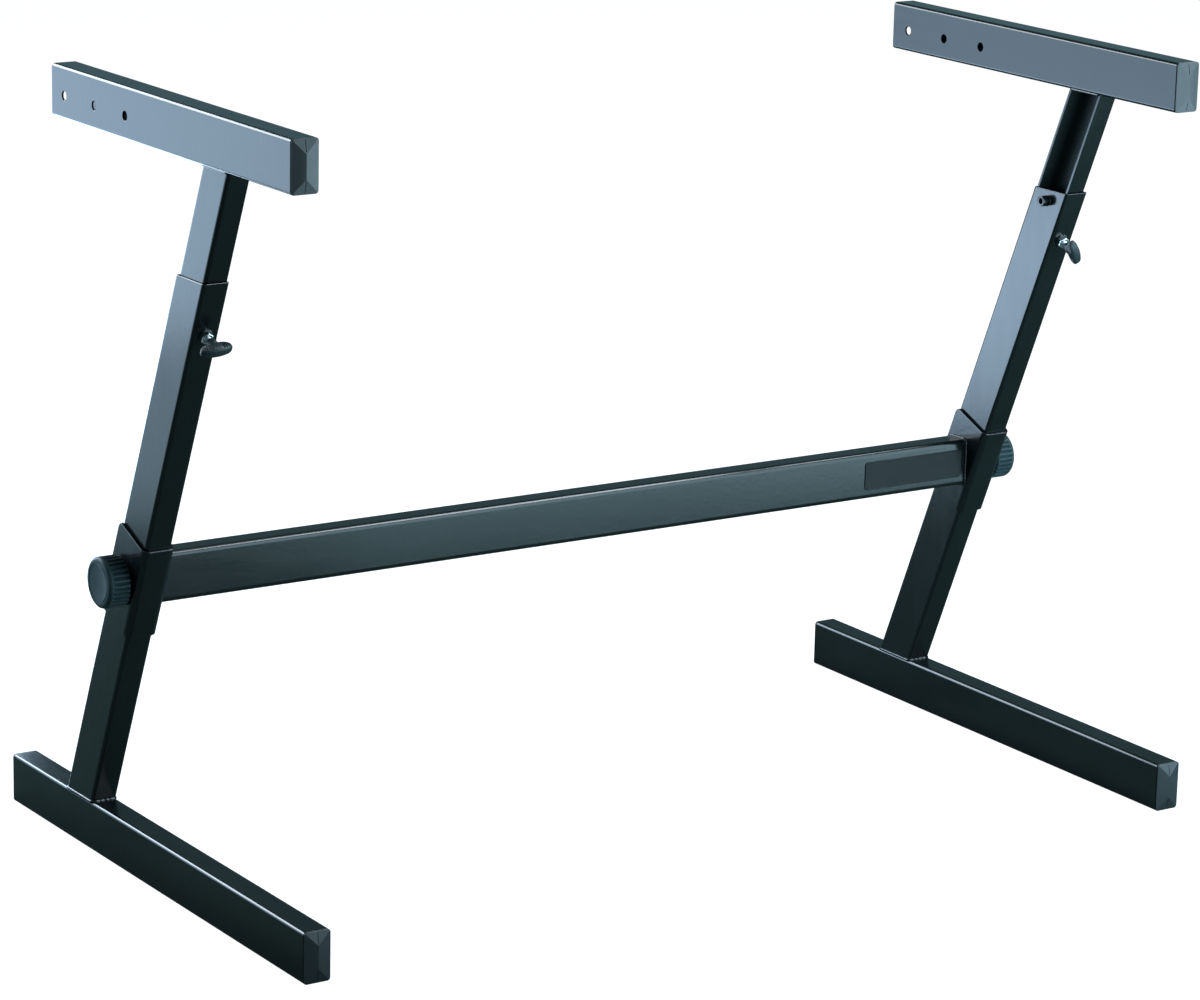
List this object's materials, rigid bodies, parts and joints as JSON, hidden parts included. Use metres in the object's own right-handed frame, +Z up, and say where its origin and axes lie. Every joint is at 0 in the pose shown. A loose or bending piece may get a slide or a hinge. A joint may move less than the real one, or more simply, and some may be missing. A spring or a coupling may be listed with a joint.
{
  "type": "z keyboard stand",
  "caption": "Keyboard stand of black steel tube: Z-shaped side frames with height-adjustable arms, joined by a crossbar held with knobs.",
  "frame": {"origin": "on the floor, at the middle of the stand's bounding box", "axes": "+Z up, front toward -Y (the side the arms lean to, where the player stands), +X to the player's right seen from the front"},
  "size_m": [0.979, 0.5456, 0.693],
  "materials": {
    "frame_paint": "semi-gloss black",
    "cap_plastic": "satin black",
    "knob_plastic": "satin black",
    "plated_steel": "zinc plated",
    "plate_film": "gloss black"
  },
  "bodies": {
    "base": {"left_foot": "frame_paint", "left_foot_cap_front": "cap_plastic", "left_foot_cap_rear": "cap_plastic", "left_upright": "frame_paint", "left_bracket": "frame_paint", "left_clamp_nut": "plated_steel", "left_knob_washer": "plated_steel", "left_bracket_nut": "plated_steel", "right_foot": "frame_paint", "right_foot_cap_front": "cap_plastic", "right_foot_cap_rear": "cap_plastic", "right_upright": "frame_paint", "right_bracket": "frame_paint", "right_clamp_nut": "plated_steel", "right_knob_washer": "plated_steel", "right_bracket_nut": "plated_steel", "right_guide_sleeve": "frame_paint", "crossbar": "frame_paint", "name_plate_blank": "plate_film"},
    "left_arm_frame": {"left_post": "frame_paint", "left_arm": "frame_paint", "left_arm_cap_front": "cap_plastic"},
    "right_arm_frame": {"right_post": "frame_paint", "right_arm": "frame_paint", "right_arm_cap_front": "cap_plastic"},
    "left_clamp_screw": {"left_clamp_grip": "knob_plastic", "left_clamp_shank": "plated_steel"},
    "right_clamp_screw": {"right_clamp_grip": "knob_plastic", "right_clamp_shank": "plated_steel"},
    "left_knob_screw": {"left_knob": "knob_plastic", "left_knob_stud": "plated_steel"},
    "right_knob_screw": {"right_knob": "knob_plastic", "right_knob_stud": "plated_steel"}
  },
  "joints": [
    {"name": "left_height", "type": "slide", "parent": "base", "child": "left_arm_frame", "axis": [0, -0.3827, 0.9239], "range_m": [-0.1, 0.1]},
    {"name": "right_height", "type": "slide", "parent": "base", "child": "right_arm_frame", "axis": [0, -0.3827, 0.9239], "range_m": [-0.1, 0.1]},
    {"name": "left_clamp_turn", "type": "hinge", "parent": "base", "child": "left_clamp_screw", "pos_m": [-0.451, -0.07735, 0.50214], "axis": [0, 0.9239, 0.3827], "range_deg": [-270, 0]},
    {"name": "right_clamp_turn", "type": "hinge", "parent": "base", "child": "right_clamp_screw", "pos_m": [0.451, -0.07735, 0.50214], "axis": [0, 0.9239, 0.3827], "range_deg": [-270, 0]},
    {"name": "left_knob_turn", "type": "hinge", "parent": "base", "child": "left_knob_screw", "pos_m": [-0.451, 0.04477, 0.2661], "axis": [1, 0, 0], "range_deg": [-270, 0]},
    {"name": "right_knob_turn", "type": "hinge", "parent": "base", "child": "right_knob_screw", "pos_m": [0.451, 0.04477, 0.2661], "axis": [-1, 0, 0], "range_deg": [-270, 0]}
  ]
}
